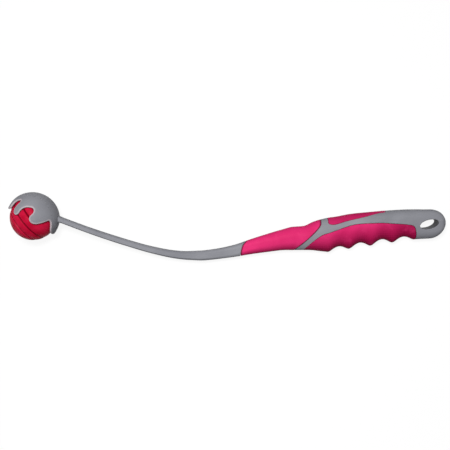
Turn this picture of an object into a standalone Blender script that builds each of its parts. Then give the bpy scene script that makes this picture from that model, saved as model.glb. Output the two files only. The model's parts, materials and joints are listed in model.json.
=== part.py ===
"""Dog ball thrower: a claw cup on a long bent arm, a handle of two shells with soft grips, and a ball.

The thrower is modelled in its throwing frame: X runs from the cup's centre towards the handle's tail,
Y points to the thumb side and Z across, with the middle plane at Z = 0. At the end it is laid on its side,
as on a floor.
"""

import math

import bmesh
import bpy
from mathutils import Matrix, Vector
from mathutils.geometry import delaunay_2d_cdt

# Fits
CLEARANCE = 0.0003  # between pieces that touch on the real thrower
OVERRUN = 0.006  # how far a cutter passes what it cuts

# Ball
BALL_RADIUS = 0.0292
GROOVE_WIDTH = 0.0032
GROOVE_DEPTH = 0.0015
GROOVE_LATITUDES = (-31, -10.5, 10.5, 31)  # degrees from the ball's own equator
GROOVE_MIDDLE = 115  # degrees round the ball, the middle of the grooves on its lower half
GROOVE_REACH = 90  # degrees to each side of there, as far as those grooves run
GROOVE_END = 10  # degrees in which they run out
BALL_AXIS = (-0.79, -0.61, -0.09)  # the way that the ball's own axis happens to point

# Cup
CUP_RADIUS = 0.0340
CUP_WALL = 0.0024
CUP_AIM = 59  # degrees above the middle line to which the cup's closed pole points
TIP_CURL = 0.0009  # how far the finger tips close in
SEAT_AIM = 66  # degrees, where the ball touches the inside of the cup
CUP_TRIANGLE = 0.0042  # length of the sides of the cup's triangles

# Arm
SPINE_LENGTH = 0.5256  # from the cup's centre to the tail's tip
SPINE_SAG = 0.0457  # how far the arm's middle line dips below the cup's centre
ARM_DEPTH = 0.0090
ARM_WIDTH = 0.0124
COLLAR_LENGTH = 0.0062  # how far the cup's collar stands out of the dome
COLLAR_FLARE = 0.0008  # how much wider the collar is at its root
SPIGOT_LENGTH = 0.0040
SPIGOT_STEP = 0.0022  # how far the spigot is set back from the arm's surface
TANG_PAST_PIN = 0.0450  # how far the tang runs on behind its pin
TANG_DEPTH = 0.0090
TANG_WIDTH = 0.0060

# Handle
HANDLE_DEPTH = 0.0434
HANDLE_WIDTH = 0.0290
SHELL_WALL = 0.0024
GRIP_SKIN = 0.0016  # thickness of the soft grips
TAIL_ROUND = 0.0185  # length of the tail's rounded end
TAIL_EDGE = 0.0080  # radius of the tail's end, seen from above
FINGER_PITCH = 0.0275
FINGER_HOLLOW = 0.0058
FINGERS = 4
HOLE_LENGTH = 0.0238
HOLE_HEIGHT = 0.0112
HOLE_TILT = 13.5  # degrees
RIB_THICKNESS = 0.0022
PEG_RADIUS = 0.0020
PEG_LENGTH = 0.0040
TANG_PIN_RADIUS = 0.0026

# Mesh fineness
STATION_STEP = 0.0095
HOLLOW_STEPS = 6  # stations to one finger hollow
CORNER_STEPS = 3
TAIL_STEPS = 7
COLLAR_STEPS = 3
HOLE_SIDES = 24

# The middle line from cup to tail: shares of SPINE_LENGTH and of SPINE_SAG
middle_line_shares = (
    (0.065, -0.015), (0.144, -0.354), (0.232, -0.686), (0.29, -0.875), (0.348, -1.006), (0.377, -1.032),
    (0.406, -1.033), (0.435, -1.004), (0.465, -0.953), (0.494, -0.889), (0.523, -0.802), (0.566, -0.687),
    (0.61, -0.583), (0.629, -0.554), (0.658, -0.539), (0.68, -0.486), (0.701, -0.461), (0.727, -0.443),
    (0.771, -0.35), (0.815, -0.288), (0.858, -0.227), (0.902, -0.182), (0.931, -0.153), (0.96, -0.145),
    (1.0, -0.104),
)
# Depth, seen from the side: shares of SPINE_LENGTH, then of ARM_DEPTH or HANDLE_DEPTH
arm_depth_shares = (
    (0.05, 0.79), (0.13, 0.82), (0.19, 0.865), (0.232, 0.88), (0.29, 0.94), (0.348, 1.065), (0.377, 1.17),
    (0.406, 1.325), (0.435, 1.41), (0.465, 1.525),
)
handle_depth_shares = (
    (0.494, 0.357), (0.523, 0.425), (0.566, 0.526), (0.61, 0.623), (0.629, 0.684), (0.658, 0.71),
    (0.68, 0.836), (0.701, 0.947), (0.727, 1.029), (0.771, 1.023), (0.815, 1.0), (0.858, 0.961),
    (0.902, 0.925), (0.931, 0.87), (0.962, 0.8485), (1.0, 0.82),
)
# Width, seen from above: shares of SPINE_LENGTH, then of ARM_WIDTH or HANDLE_WIDTH
arm_width_shares = ((0.05, 1.0), (0.434, 1.0))
handle_width_shares = (
    (0.493, 0.48), (0.54, 0.63), (0.6, 0.78), (0.657, 0.9), (0.725, 1.0), (0.8, 1.0), (0.87, 0.95),
    (0.91, 0.88), (0.935, 0.86), (1.0, 0.86),
)
# Rounding of the section's corners: shares of SPINE_LENGTH, of the half width and of the half depth
corner_shares = (
    (0.05, 0.4, 0.42), (0.40, 0.4, 0.42), (0.493, 0.7, 0.62), (0.56, 0.93, 0.78), (0.657, 0.97, 0.84),
    (0.8, 0.97, 0.84), (0.91, 0.86, 0.7), (0.935, 0.76, 0.6), (1.0, 0.76, 0.6),
)
# Flatness of the section's corners: shares of SPINE_LENGTH, then 1 for a chamfer and 0 for an ellipse
chamfer_shares = ((0.05, 0.9), (0.40, 0.9), (0.48, 0.0), (1.0, 0.0))
# How much of the flat side the lower corners' rounding takes: shares of SPINE_LENGTH, and of that side
belly_shares = ((0.05, 0.0), (0.5, 0.0), (0.6, 0.9), (0.88, 0.9), (0.935, 0.0), (1.0, 0.0))
# Outlines of the soft grips: shares of SPINE_LENGTH, and of the half depth above the middle line
sleeve_front_shares = (
    (0.521, 1.5), (0.517, 0.99), (0.511, 0.71), (0.508, 0.41), (0.506, -0.1), (0.505, -0.7), (0.505, -1.0),
    (0.505, -1.5),
)
sleeve_rear_shares = (
    (0.633, -1.5), (0.6365, -0.95), (0.651, -0.5), (0.667, -0.07), (0.688, 0.41), (0.6975, 0.7),
    (0.699, 1.0), (0.7005, 1.5),
)
top_pad_shares = (
    (0.7155, 1.5), (0.7155, 0.98), (0.7155, 0.8), (0.717, 0.69), (0.7235, 0.625), (0.7335, 0.62),
    (0.759, 0.675), (0.791, 0.75), (0.811, 0.815), (0.838, 0.92), (0.855, 0.99), (0.858, 1.5),
)
finger_grip_shares = (
    (0.9275, -1.5), (0.9275, -0.98), (0.9265, -0.5), (0.921, -0.07), (0.904, 0.09), (0.872, 0.22),
    (0.842, 0.335), (0.808, 0.405), (0.781, 0.42), (0.761, 0.375), (0.74, 0.3), (0.72, 0.185),
    (0.702, 0.07), (0.6825, -0.25), (0.6575, -0.96), (0.6535, -1.5),
)
hollow_start_share = 0.7161  # the ridge ahead of the first finger hollow
sleeve_start_share = 0.487  # just ahead of the front sleeve
shell_start_share = 0.5346  # the front of the shells
hole_share = 0.958
hole_height_share = 0.03
rib_shares = (0.575, 0.655, 0.71, 0.79, 0.87)
tang_pin_share = 0.62
peg_shares = ((0.735, 0.4), (0.835, -0.3), (0.905, 0.25))

# The cup's rim on the near side: degrees round the pole from the front finger, degrees from the pole
RIM_HALF = (
    (0, 96.8), (13, 95.8), (23, 93), (29, 89), (30.5, 83), (31, 77), (32.5, 71), (36, 65.5), (41, 61.5),
    (45.5, 61), (48.6, 64.5), (49, 71), (48.5, 78), (49.5, 85), (52.5, 90), (57, 92.6), (62, 91.5),
    (65, 86.5), (65.5, 79), (67, 72.5), (70.5, 67), (77, 62.5), (85, 59.5), (91, 61.5), (93.5, 67),
    (92.5, 73), (91.5, 78.5), (93, 84), (98, 88), (105, 89), (112.5, 86), (119, 81), (126, 75.5),
    (132, 70.5), (138, 68), (143, 71.5), (147, 78), (151, 85), (156.5, 91), (163, 94.5), (171, 95.8),
    (180, 96),
)


def smooth(table, x):
    """The height at x of a smooth curve through the table's points, without overshoot."""
    xs = [row[0] for row in table]
    ys = [row[1] for row in table]
    if x <= xs[0]:
        return ys[0]
    if x >= xs[-1]:
        return ys[-1]
    slopes = [(ys[i + 1] - ys[i]) / (xs[i + 1] - xs[i]) for i in range(len(xs) - 1)]

    def tangent(i):
        if i == 0 or i == len(xs) - 1:
            return slopes[min(i, len(slopes) - 1)]
        before, after = slopes[i - 1], slopes[i]
        return 0.0 if before * after <= 0 else 2 * before * after / (before + after)

    i = max(k for k in range(len(xs) - 1) if xs[k] <= x)
    span = xs[i + 1] - xs[i]
    t = (x - xs[i]) / span
    return (
        ys[i] * (1 + 2 * t) * (1 - t) ** 2
        + ys[i + 1] * t * t * (3 - 2 * t)
        + span * tangent(i) * t * (1 - t) ** 2
        + span * tangent(i + 1) * t * t * (t - 1)
    )


middle_line = [(SPINE_LENGTH * x, SPINE_SAG * y) for x, y in middle_line_shares]
depth_line = [(SPINE_LENGTH * x, ARM_DEPTH * d) for x, d in arm_depth_shares]
depth_line += [(SPINE_LENGTH * x, HANDLE_DEPTH * d) for x, d in handle_depth_shares]
width_line = [(SPINE_LENGTH * x, ARM_WIDTH * w) for x, w in arm_width_shares]
width_line += [(SPINE_LENGTH * x, HANDLE_WIDTH * w) for x, w in handle_width_shares]
corner_across = [(SPINE_LENGTH * x, share) for x, share, _ in corner_shares]
corner_along = [(SPINE_LENGTH * x, share) for x, _, share in corner_shares]
chamfer_line = [(SPINE_LENGTH * x, share) for x, share in chamfer_shares]
belly_line = [(SPINE_LENGTH * x, share) for x, share in belly_shares]
sleeve_start = SPINE_LENGTH * sleeve_start_share
shell_start = SPINE_LENGTH * shell_start_share
tang_end = SPINE_LENGTH * tang_pin_share + TANG_PAST_PIN
hollow_start = SPINE_LENGTH * hollow_start_share
hollow_end = hollow_start + FINGERS * FINGER_PITCH
tail_start = SPINE_LENGTH - TAIL_ROUND
collar_end = CUP_RADIUS + COLLAR_LENGTH
grip_shares = {
    "front_sleeve": sleeve_front_shares + sleeve_rear_shares,
    "top_pad": top_pad_shares,
    "finger_grip": finger_grip_shares,
}


def finger_hollow(x):
    """How deep the finger hollows are at X: wide valleys between narrow round ridges."""
    if not hollow_start < x < hollow_end:
        return 0.0
    ridge_share = 0.4
    wave = math.sin(math.pi * (x - hollow_start) / FINGER_PITCH)
    crest = math.hypot(1, ridge_share) - ridge_share
    return FINGER_HOLLOW * (math.hypot(wave, ridge_share) - ridge_share) / crest


def tail_fade(x, inset):
    """From 1 at the start of the tail's round end to 0 at its tip."""
    along = min(max((x - tail_start) / (TAIL_ROUND - inset), 0.0), 1.0)
    return math.sqrt(1 - along * along)


def half_width(x, inset):
    """Half the width at X, drawn in round the tail's end."""
    edge = TAIL_EDGE - inset
    past = max(x - (SPINE_LENGTH - inset - edge), 0.0)
    rounded = edge - math.sqrt(max(edge * edge - past * past, 0.0))
    return smooth(width_line, x) / 2 - inset - rounded


def corner_ring(x, middle, above, below, wide, across, along, along_low):
    """A ring of points at X: a rectangle about the middle line, with its corners rounded or chamfered."""
    ring = []
    flat = smooth(chamfer_line, x)
    for quarter in range(4):
        side = 1 if quarter in (0, 3) else -1
        up, depth, tall = (1, above, along) if quarter < 2 else (-1, below, along_low)
        start, end = aim_vector(90 * quarter), aim_vector(90 * (quarter + 1))
        for step in range(CORNER_STEPS + 1):
            share = step / CORNER_STEPS
            corner = aim_vector(90 * (quarter + share)).lerp(start.lerp(end, share), flat)
            z = side * (wide - across) + across * corner.x
            y = up * (depth - tall) + tall * corner.y
            ring.append(Vector((x, middle + y, z)))
    return ring


def section(x, inset=0.0):
    """The ring of points round the arm or the handle at X, drawn in by inset."""
    fade = tail_fade(x, inset)
    above = smooth(depth_line, x) / 2
    below = above - finger_hollow(x)
    above, below = (above - inset) * fade, (below - inset) * fade
    wide = half_width(x, inset)
    across = wide * smooth(corner_across, x)
    along = min(above, below) * smooth(corner_along, x)
    along_low = along + (above + below - 2 * along) * smooth(belly_line, x)
    return corner_ring(x, smooth(middle_line, x), above, below, wide, across, along, along_low)


def even_stations(start, end):
    """X values from start to just before end, about STATION_STEP apart."""
    steps = max(round((end - start) / STATION_STEP), 1)
    return [start + (end - start) * i / steps for i in range(steps)]


def common_stations():
    """X values that every loft shares: on each ridge and valley of the finger hollows, wider elsewhere."""
    fine_start = hollow_start - FINGER_PITCH / 2
    count = HOLLOW_STEPS * FINGERS + HOLLOW_STEPS // 2
    fine = [fine_start + FINGER_PITCH * i / HOLLOW_STEPS for i in range(count)]
    return even_stations(0, fine_start) + fine + even_stations(hollow_end, tail_start)


def stations(start, end):
    """X values from start to end: the common ones between, and even turns of the tail's round end."""
    least = STATION_STEP / 5
    found = [start] + [x for x in common_stations() if start + least < x < min(end, tail_start) - least]
    if end > tail_start:
        most = math.radians(84)
        reach = (end - tail_start) / math.sin(most)
        found += [tail_start + reach * math.sin(most * i / TAIL_STEPS) for i in range(TAIL_STEPS)]
    return [*found, end]


def loft(rings):
    """A closed mesh through rings with the same number of points, with flat ends."""
    mesh = bmesh.new()
    loops = [[mesh.verts.new(point) for point in ring] for ring in rings]
    for near, far in zip(loops, loops[1:]):
        for i, corner in enumerate(near):
            j = (i + 1) % len(near)
            mesh.faces.new((corner, near[j], far[j], far[i]))
    mesh.faces.new(loops[0])
    mesh.faces.new(loops[-1])
    bmesh.ops.recalc_face_normals(mesh, faces=mesh.faces)
    return mesh


def prism(outline, low, high):
    """An outline in the middle plane, extruded across from low to high."""
    return loft([[Vector((x, y, z)) for x, y in outline] for z in (low, high)])


def rectangle(front, rear, low, high):
    """The corners of an upright rectangle in the middle plane."""
    return [(front, low), (rear, low), (rear, high), (front, high)]


def place(name, mesh, surface=None):
    """Makes an object of the mesh. Without a surface it is a cutter, which is not part of the thrower."""
    data = bpy.data.meshes.new(name)
    mesh.to_mesh(data)
    mesh.free()
    piece = bpy.data.objects.new(name, data)
    bpy.context.scene.collection.objects.link(piece)
    if surface is None:
        piece.hide_render = True
        piece.display_type = "WIRE"
    else:
        data.materials.append(surface)
        data.shade_smooth()
        data.set_sharp_from_angle(angle=math.radians(35))
    return piece


def cut(piece, tool, operation="DIFFERENCE"):
    """Adds an exact Boolean of the tool to the piece."""
    boolean = piece.modifiers.new(f"{operation.lower()} {tool.name}", "BOOLEAN")
    boolean.operation = operation
    boolean.object = tool
    boolean.solver = "EXACT"


def plastic(name, colour, roughness):
    """A plain moulded surface."""
    surface = bpy.data.materials.new(name)
    surface.use_nodes = True
    shader = surface.node_tree.nodes["Principled BSDF"]
    shader.inputs["Base Color"].default_value = (*colour, 1)
    shader.inputs["Roughness"].default_value = roughness
    shader.inputs["Metallic"].default_value = 0
    surface.diffuse_color = (*colour, 1)
    return surface


def groove_run(groove, longitude):
    """1 along a groove, down to 0 where one on the lower half runs out."""
    off = abs((longitude - GROOVE_MIDDLE + 180) % 360 - 180)
    return 1.0 if groove > 0 else min(max((GROOVE_REACH - off) / GROOVE_END, 0.0), 1.0)


def ball_radius_at(latitude, longitude):
    """The ball's radius at a latitude and a longitude, less in its grooves."""
    radius = BALL_RADIUS
    half = math.degrees(GROOVE_WIDTH / 2 / BALL_RADIUS)
    for groove in GROOVE_LATITUDES:
        off = abs(latitude - groove) / half
        if off < 1:
            radius -= GROOVE_DEPTH * math.cos(off * math.pi / 2) * groove_run(groove, longitude)
    return radius


def ball_latitudes():
    """Latitudes of the ball's rings: even ones, and three in each groove."""
    half = math.degrees(GROOVE_WIDTH / 2 / BALL_RADIUS)
    grooves = [groove + side * half for groove in GROOVE_LATITUDES for side in (-1, 0, 1)]
    even = [latitude for latitude in range(-80, 81, 10)]
    clear = [a for a in even if all(abs(a - g) > 2 * half for g in GROOVE_LATITUDES)]
    return sorted(clear + grooves)


def ball_mesh(sides=28):
    """The ball turned about its own axis, with a point at each pole."""
    rings = []
    for latitude in ball_latitudes():
        height = Vector((0, 0, math.sin(math.radians(latitude))))
        around = math.cos(math.radians(latitude))
        turns = [360 * i / sides for i in range(sides)]
        rings.append([
            (aim_vector(turn) * around + height) * ball_radius_at(latitude, turn) for turn in turns
        ])
    mesh = loft(rings)
    mesh.verts.ensure_lookup_table()
    ends = [face for face in mesh.faces if len(face.verts) == sides]
    ends.sort(key=lambda face: face.calc_center_median().z)
    for face, pole in zip(ends, (-BALL_RADIUS, BALL_RADIUS)):
        made = bmesh.ops.poke(mesh, faces=[face])
        made["verts"][0].co.z = pole
    aim = Vector((0, 0, 1)).rotation_difference(Vector(BALL_AXIS).normalized())
    bmesh.ops.transform(mesh, matrix=aim.to_matrix().to_4x4(), verts=mesh.verts)
    return mesh


def aim_vector(degrees):
    """A unit vector in the middle plane, at an angle above +X."""
    return Vector((math.cos(math.radians(degrees)), math.sin(math.radians(degrees)), 0))


def ball_seat():
    """The ball's centre when it is seated against the inside of the cup."""
    return aim_vector(SEAT_AIM) * (CUP_RADIUS - CUP_WALL - CLEARANCE - BALL_RADIUS)


def cup_outer_radius(polar):
    """The cup's outer radius at an angle from its pole, less where the finger tips close in."""
    curl_start, curl_end = math.radians(60), math.radians(97)
    share = min(max((polar - curl_start) / (curl_end - curl_start), 0.0), 1.0)
    return CUP_RADIUS - TIP_CURL * share * share * (3 - 2 * share)


def cup_point(flat, radius_change=0.0):
    """A point of the cup's flat development (angles from the pole, in radians), set on the dome."""
    polar = math.hypot(*flat)
    turn = math.atan2(flat[1], flat[0])
    pole = aim_vector(CUP_AIM)
    front = aim_vector(CUP_AIM + 90)
    way = (front * math.cos(turn) + Vector((0, 0, 1)) * math.sin(turn)) * math.sin(polar)
    return (way + pole * math.cos(polar)) * (cup_outer_radius(polar) + radius_change)


def smooth_loop(corners, steps=2):
    """A smooth closed curve through the corners."""
    count = len(corners)
    outline = []
    for i in range(count):
        before, start, end, after = (corners[(i + k) % count] for k in (-1, 0, 1, 2))
        for step in range(steps):
            t = step / steps
            outline.append(
                start + t * (end - before) / 2
                + t * t * (before - 2.5 * start + 2 * end - 0.5 * after)
                + t * t * t * (1.5 * (start - end) + (after - before) / 2)
            )
    return outline


def rim_outline():
    """The cup's rim in the flat development, as a smooth closed loop."""
    near = [(math.radians(turn), math.radians(polar)) for turn, polar in RIM_HALF]
    whole = near + [(-turn, polar) for turn, polar in reversed(near[1:-1])]
    return smooth_loop([Vector((polar * math.cos(turn), polar * math.sin(turn))) for turn, polar in whole])


def cup_sheet(outline):
    """Points and triangles that fill an outline of the flat development."""
    spacing = CUP_TRIANGLE / CUP_RADIUS
    points = list(outline)
    edges = [(i, (i + 1) % len(outline)) for i in range(len(outline))]
    far = max(point.length for point in outline)
    rows = math.ceil(far / spacing)
    for row in range(-rows, rows + 1):
        for column in range(-rows, rows + 1):
            point = Vector((spacing * (column + row % 2 / 2), spacing * row * math.sqrt(3) / 2))
            if inside(point, outline) and clearance_to(point, outline) > spacing * 0.55:
                points.append(point)
    found = delaunay_2d_cdt(points, edges, [list(range(len(outline)))], 1, spacing / 1000)
    return found[0], found[2]


def inside(point, outline):
    """Whether a point lies within a closed outline."""
    crossings = 0
    for start, end in zip(outline, outline[1:] + outline[:1]):
        if (start.y > point.y) != (end.y > point.y):
            along = (point.y - start.y) / (end.y - start.y)
            crossings += point.x < start.x + along * (end.x - start.x)
    return crossings % 2 == 1


def clearance_to(point, outline):
    """The distance from a point to the nearest corner of an outline."""
    return min((point - corner).length for corner in outline)


def drawn_in(outline, by):
    """A closed outline with each corner moved inwards, square to the line through its neighbours."""
    count = len(outline)
    area = sum(a.cross(b) for a, b in zip(outline, outline[1:] + outline[:1]))
    moved = []
    for i, corner in enumerate(outline):
        way = (outline[(i + 1) % count] - outline[i - 1]).normalized()
        moved.append(corner + Vector((-way.y, way.x)) * by * math.copysign(1, area))
    return moved


def cup_mesh():
    """The claw cup: two sheets over the dome, joined round the rim by a rounded edge."""
    rim = rim_outline()
    half_wall = CUP_WALL / 2
    sheet_edge = drawn_in(rim, half_wall / CUP_RADIUS)
    points, faces = cup_sheet(sheet_edge)
    mesh = bmesh.new()
    outer = [mesh.verts.new(cup_point(point)) for point in points]
    inner = [mesh.verts.new(cup_point(point, -CUP_WALL)) for point in points]
    for face in faces:
        mesh.faces.new([outer[i] for i in face])
        mesh.faces.new([inner[i] for i in reversed(face)])
    loops = [outer[: len(rim)]]
    for angle in (math.radians(30), math.radians(-30)):
        ring = drawn_in(rim, half_wall * (1 - math.cos(angle)) / CUP_RADIUS)
        change = half_wall * (math.sin(angle) - 1)
        loops.append([mesh.verts.new(cup_point(point, change)) for point in ring])
    loops.append(inner[: len(rim)])
    for upper, lower in zip(loops, loops[1:]):
        for i in range(len(rim)):
            j = (i + 1) % len(rim)
            mesh.faces.new((upper[i], lower[i], lower[j], upper[j]))
    bmesh.ops.recalc_face_normals(mesh, faces=mesh.faces)
    return mesh


def collar_mesh():
    """The cup's collar round the arm's root, which flares where it meets the dome."""
    start = CUP_RADIUS - CUP_WALL - COLLAR_FLARE
    rings = []
    for step in range(COLLAR_STEPS + 1):
        x = start + (collar_end - start) * step / COLLAR_STEPS
        left = max(1 - (x - start) / (collar_end - start), 0.0)
        rings.append(section(x, -COLLAR_FLARE * left * left))
    return loft(rings)


def claw_cup(surface):
    """The dome with its fingers and its collar, which has a pocket for the arm's spigot."""
    cup = place("claw_cup", cup_mesh(), surface)
    collar = place("collar", collar_mesh())
    dome = bmesh.new()
    bmesh.ops.create_icosphere(dome, subdivisions=4, radius=CUP_RADIUS - CUP_WALL / 2)
    cut(collar, place("dome core", dome))
    cut(cup, collar, "UNION")
    pocket_start = collar_end - SPIGOT_LENGTH - CLEARANCE
    ends = (pocket_start, collar_end + OVERRUN)
    cut(cup, place("spigot pocket", loft([section(x, SPIGOT_STEP - CLEARANCE) for x in ends])))
    return cup


def tang_ring(x, margin=0.0):
    """The ring of points round the arm's tang at X."""
    middle = smooth(middle_line, x)
    deep = TANG_DEPTH / 2 + margin
    wide = TANG_WIDTH / 2 + margin
    corner = TANG_WIDTH * corner_shares[0][1] / 2
    return corner_ring(x, middle, deep, deep, wide, corner, corner, corner)


def throwing_arm(surface, grip_rooms):
    """The bent bar, with the spigot for the cup at one end and the tang for the handle at the other."""
    shoulder, front = shell_start - CLEARANCE, collar_end + CLEARANCE
    rings = [section(x, SPIGOT_STEP) for x in (collar_end - SPIGOT_LENGTH, front)]
    rings += [section(x) for x in stations(front, shoulder)]
    rings += [tang_ring(x) for x in stations(shoulder, tang_end)]
    arm = place("throwing_arm", loft(rings), surface)
    cut(arm, grip_rooms)
    hole = pin(pin_place(tang_pin_share, 0), TANG_PIN_RADIUS + CLEARANCE, -OVERRUN, OVERRUN)
    cut(arm, place("tang pin hole", hole))
    return arm


def pin(centre, radius, low, high, sides=12):
    """A round pin across the handle, from low to high."""
    turns = [math.tau * i / sides for i in range(sides)]
    outline = [(centre.x + radius * math.cos(a), centre.y + radius * math.sin(a)) for a in turns]
    return prism(outline, low, high)


def pin_place(reach_share, height_share):
    """A place in the handle's middle plane, by its shares of SPINE_LENGTH and of the half depth."""
    x = SPINE_LENGTH * reach_share
    return Vector((x, smooth(middle_line, x) + height_share * smooth(depth_line, x) / 2))


def grip_outline(shares, margin=0.0):
    """The side outline of a soft grip, in the middle plane, grown by a margin."""
    outline = smooth_loop([pin_place(*share) for share in shares])
    return drawn_in(outline, -margin)


def handle_body(inset, start, end):
    """The whole handle as one closed solid, drawn in by inset."""
    return loft([section(x, inset) for x in stations(start, end - inset)])


def soft_grips(surface):
    """The three soft grips, each a skin of even thickness over the handle's core."""
    core = place("grip core", handle_body(GRIP_SKIN, sleeve_start, SPINE_LENGTH))
    grips = []
    for name, shares in grip_shares.items():
        grip = place(name, handle_body(0, sleeve_start, SPINE_LENGTH), surface)
        outline = place(f"{name} outline", prism(grip_outline(shares), -HANDLE_WIDTH, HANDLE_WIDTH))
        cut(grip, outline, "INTERSECT")
        cut(grip, core)
        grips.append(grip)
    return grips


def grip_room_cutter():
    """The room that the three soft grips take out of the arm and the shells, with a clearance all round."""
    rooms = bmesh.new()
    for shares in grip_shares.values():
        room = prism(grip_outline(shares, CLEARANCE), -HANDLE_WIDTH, HANDLE_WIDTH)
        data = bpy.data.meshes.new("room")
        room.to_mesh(data)
        room.free()
        rooms.from_mesh(data)
        bpy.data.meshes.remove(data)
    cutter = place("grip rooms", rooms)
    core = handle_body(GRIP_SKIN + CLEARANCE, sleeve_start - OVERRUN, SPINE_LENGTH)
    cut(cutter, place("shell core", core))
    return cutter


def shell_hollow():
    """The room inside the two shells, with their ribs and their pin bosses left standing."""
    inset = GRIP_SKIN + CLEARANCE + SHELL_WALL
    start = shell_start + SHELL_WALL
    end = SPINE_LENGTH * hole_share - HOLE_LENGTH / 2 - SHELL_WALL
    hollow = place("shell hollow", loft([section(x, inset) for x in stations(start, end)]))
    for share in rib_shares:
        front, rear = (SPINE_LENGTH * share + side * RIB_THICKNESS / 2 for side in (-1, 1))
        rib = rectangle(front, rear, -HANDLE_DEPTH - SPINE_SAG, HANDLE_DEPTH)
        cut(hollow, place("rib", prism(rib, -HANDLE_WIDTH, HANDLE_WIDTH)))
    for share in peg_shares:
        boss = pin(pin_place(*share), PEG_RADIUS + SHELL_WALL, -HANDLE_WIDTH, HANDLE_WIDTH)
        cut(hollow, place("peg boss", boss))
    boss = pin(pin_place(tang_pin_share, 0), TANG_PIN_RADIUS + SHELL_WALL, -HANDLE_WIDTH, HANDLE_WIDTH)
    cut(hollow, place("tang boss", boss))
    return hollow


def hanging_hole():
    """The long round hole in the tail."""
    centre = pin_place(hole_share, hole_height_share)
    tilt = math.radians(HOLE_TILT)
    outline = []
    for i in range(HOLE_SIDES):
        turn = math.tau * i / HOLE_SIDES
        along, up = HOLE_LENGTH / 2 * math.cos(turn), HOLE_HEIGHT / 2 * math.sin(turn)
        outline.append((
            centre.x + along * math.cos(tilt) - up * math.sin(tilt),
            centre.y + along * math.sin(tilt) + up * math.cos(tilt),
        ))
    return prism(outline, -HANDLE_WIDTH, HANDLE_WIDTH)


def handle_shells(surface, grip_rooms):
    """The two half shells. The far one has the pegs and the tang's pin, the near one their sockets."""
    hollow = shell_hollow()
    hole = place("hanging hole cutter", hanging_hole())
    tang_ends = (shell_start - OVERRUN, tang_end + CLEARANCE)
    tang_room = place("tang room", loft([tang_ring(x, CLEARANCE) for x in stations(*tang_ends)]))
    sizes = [(pin_place(*share), PEG_RADIUS, PEG_LENGTH) for share in peg_shares]
    sizes.append((pin_place(tang_pin_share, 0), TANG_PIN_RADIUS, TANG_WIDTH / 2 + PEG_LENGTH))
    shells = []
    for name, side in (("handle_shell_near", 1), ("handle_shell_far", -1)):
        shell = place(name, handle_body(0, shell_start, SPINE_LENGTH), surface)
        ends = sorted((side * CLEARANCE / 2, side * HANDLE_WIDTH))
        half = prism(rectangle(0, 2 * SPINE_LENGTH, -SPINE_LENGTH, SPINE_LENGTH), *ends)
        cut(shell, place(f"{name} half", half), "INTERSECT")
        for tool in (grip_rooms, hollow, tang_room, hole):
            cut(shell, tool)
        for centre, radius, length in sizes:
            if side > 0:
                cut(shell, place("socket", pin(centre, radius + CLEARANCE, -OVERRUN, length + CLEARANCE)))
            else:
                cut(shell, place("peg", pin(centre, radius, -HANDLE_WIDTH / 4, length)), "UNION")
        shells.append(shell)
    return shells


def rubber_ball(surface):
    """The ball in its seat, with an empty that carries it and points the way that it leaves the cup."""
    release = bpy.data.objects.new("ball_release", None)
    bpy.context.scene.collection.objects.link(release)
    release.location = ball_seat()
    release.rotation_euler = Vector((0, 0, 1)).rotation_difference(-aim_vector(CUP_AIM)).to_euler()
    ball = place("ball", ball_mesh(), surface)
    ball.parent = release
    ball.matrix_parent_inverse = release.rotation_euler.to_matrix().to_4x4().inverted()
    return release, ball


def hull_points(pieces):
    """The corners of the finished pieces, and their centre of volume."""
    graph = bpy.context.evaluated_depsgraph_get()
    corners, moment, volume = [], Vector(), 0.0
    for piece in pieces:
        evaluated = piece.evaluated_get(graph)
        mesh = bmesh.new()
        mesh.from_mesh(evaluated.to_mesh())
        mesh.transform(piece.matrix_world)
        bmesh.ops.triangulate(mesh, faces=mesh.faces)
        for face in mesh.faces:
            a, b, c = (corner.co for corner in face.verts)
            part = a.dot(b.cross(c)) / 6
            moment += (a + b + c) / 4 * part
            volume += part
        corners += [corner.co.copy() for corner in mesh.verts]
        mesh.free()
        evaluated.to_mesh_clear()
    return corners, moment / volume


def resting_face(corners, centre):
    """The outward normal of the flattest far face of the hull that the centre lies over."""
    hull = bmesh.new()
    for corner in corners:
        hull.verts.new(corner)
    bmesh.ops.convex_hull(hull, input=hull.verts, use_existing_faces=False)
    stable = [Vector((0, 0, -1))]
    for face in hull.faces:
        normal = face.normal
        edges = [(loop.vert.co, loop.link_loop_next.vert.co) for loop in face.loops]
        if all((end - start).cross(centre - start).dot(normal) > 0 for start, end in edges):
            stable.append(normal.copy())
    hull.free()
    return min(stable[1:] or stable, key=lambda normal: normal.z)


def lay_on_side(root, pieces):
    """Turns the thrower so that it lies on the floor, its length along X and its middle over the origin."""
    corners, centre = hull_points(pieces)
    down = resting_face(corners, centre).rotation_difference(Vector((0, 0, -1))).to_matrix()
    ahead = down @ Vector((1, 0, 0))
    turn = Matrix.Rotation(-math.atan2(ahead.y, ahead.x), 3, "Z") @ down
    laid = [turn @ corner for corner in corners]
    low = [min(corner[k] for corner in laid) for k in range(3)]
    high = [max(corner[k] for corner in laid) for k in range(3)]
    root.rotation_euler = turn.to_euler()
    root.location = (-(low[0] + high[0]) / 2, -(low[1] + high[1]) / 2, -low[2])


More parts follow.
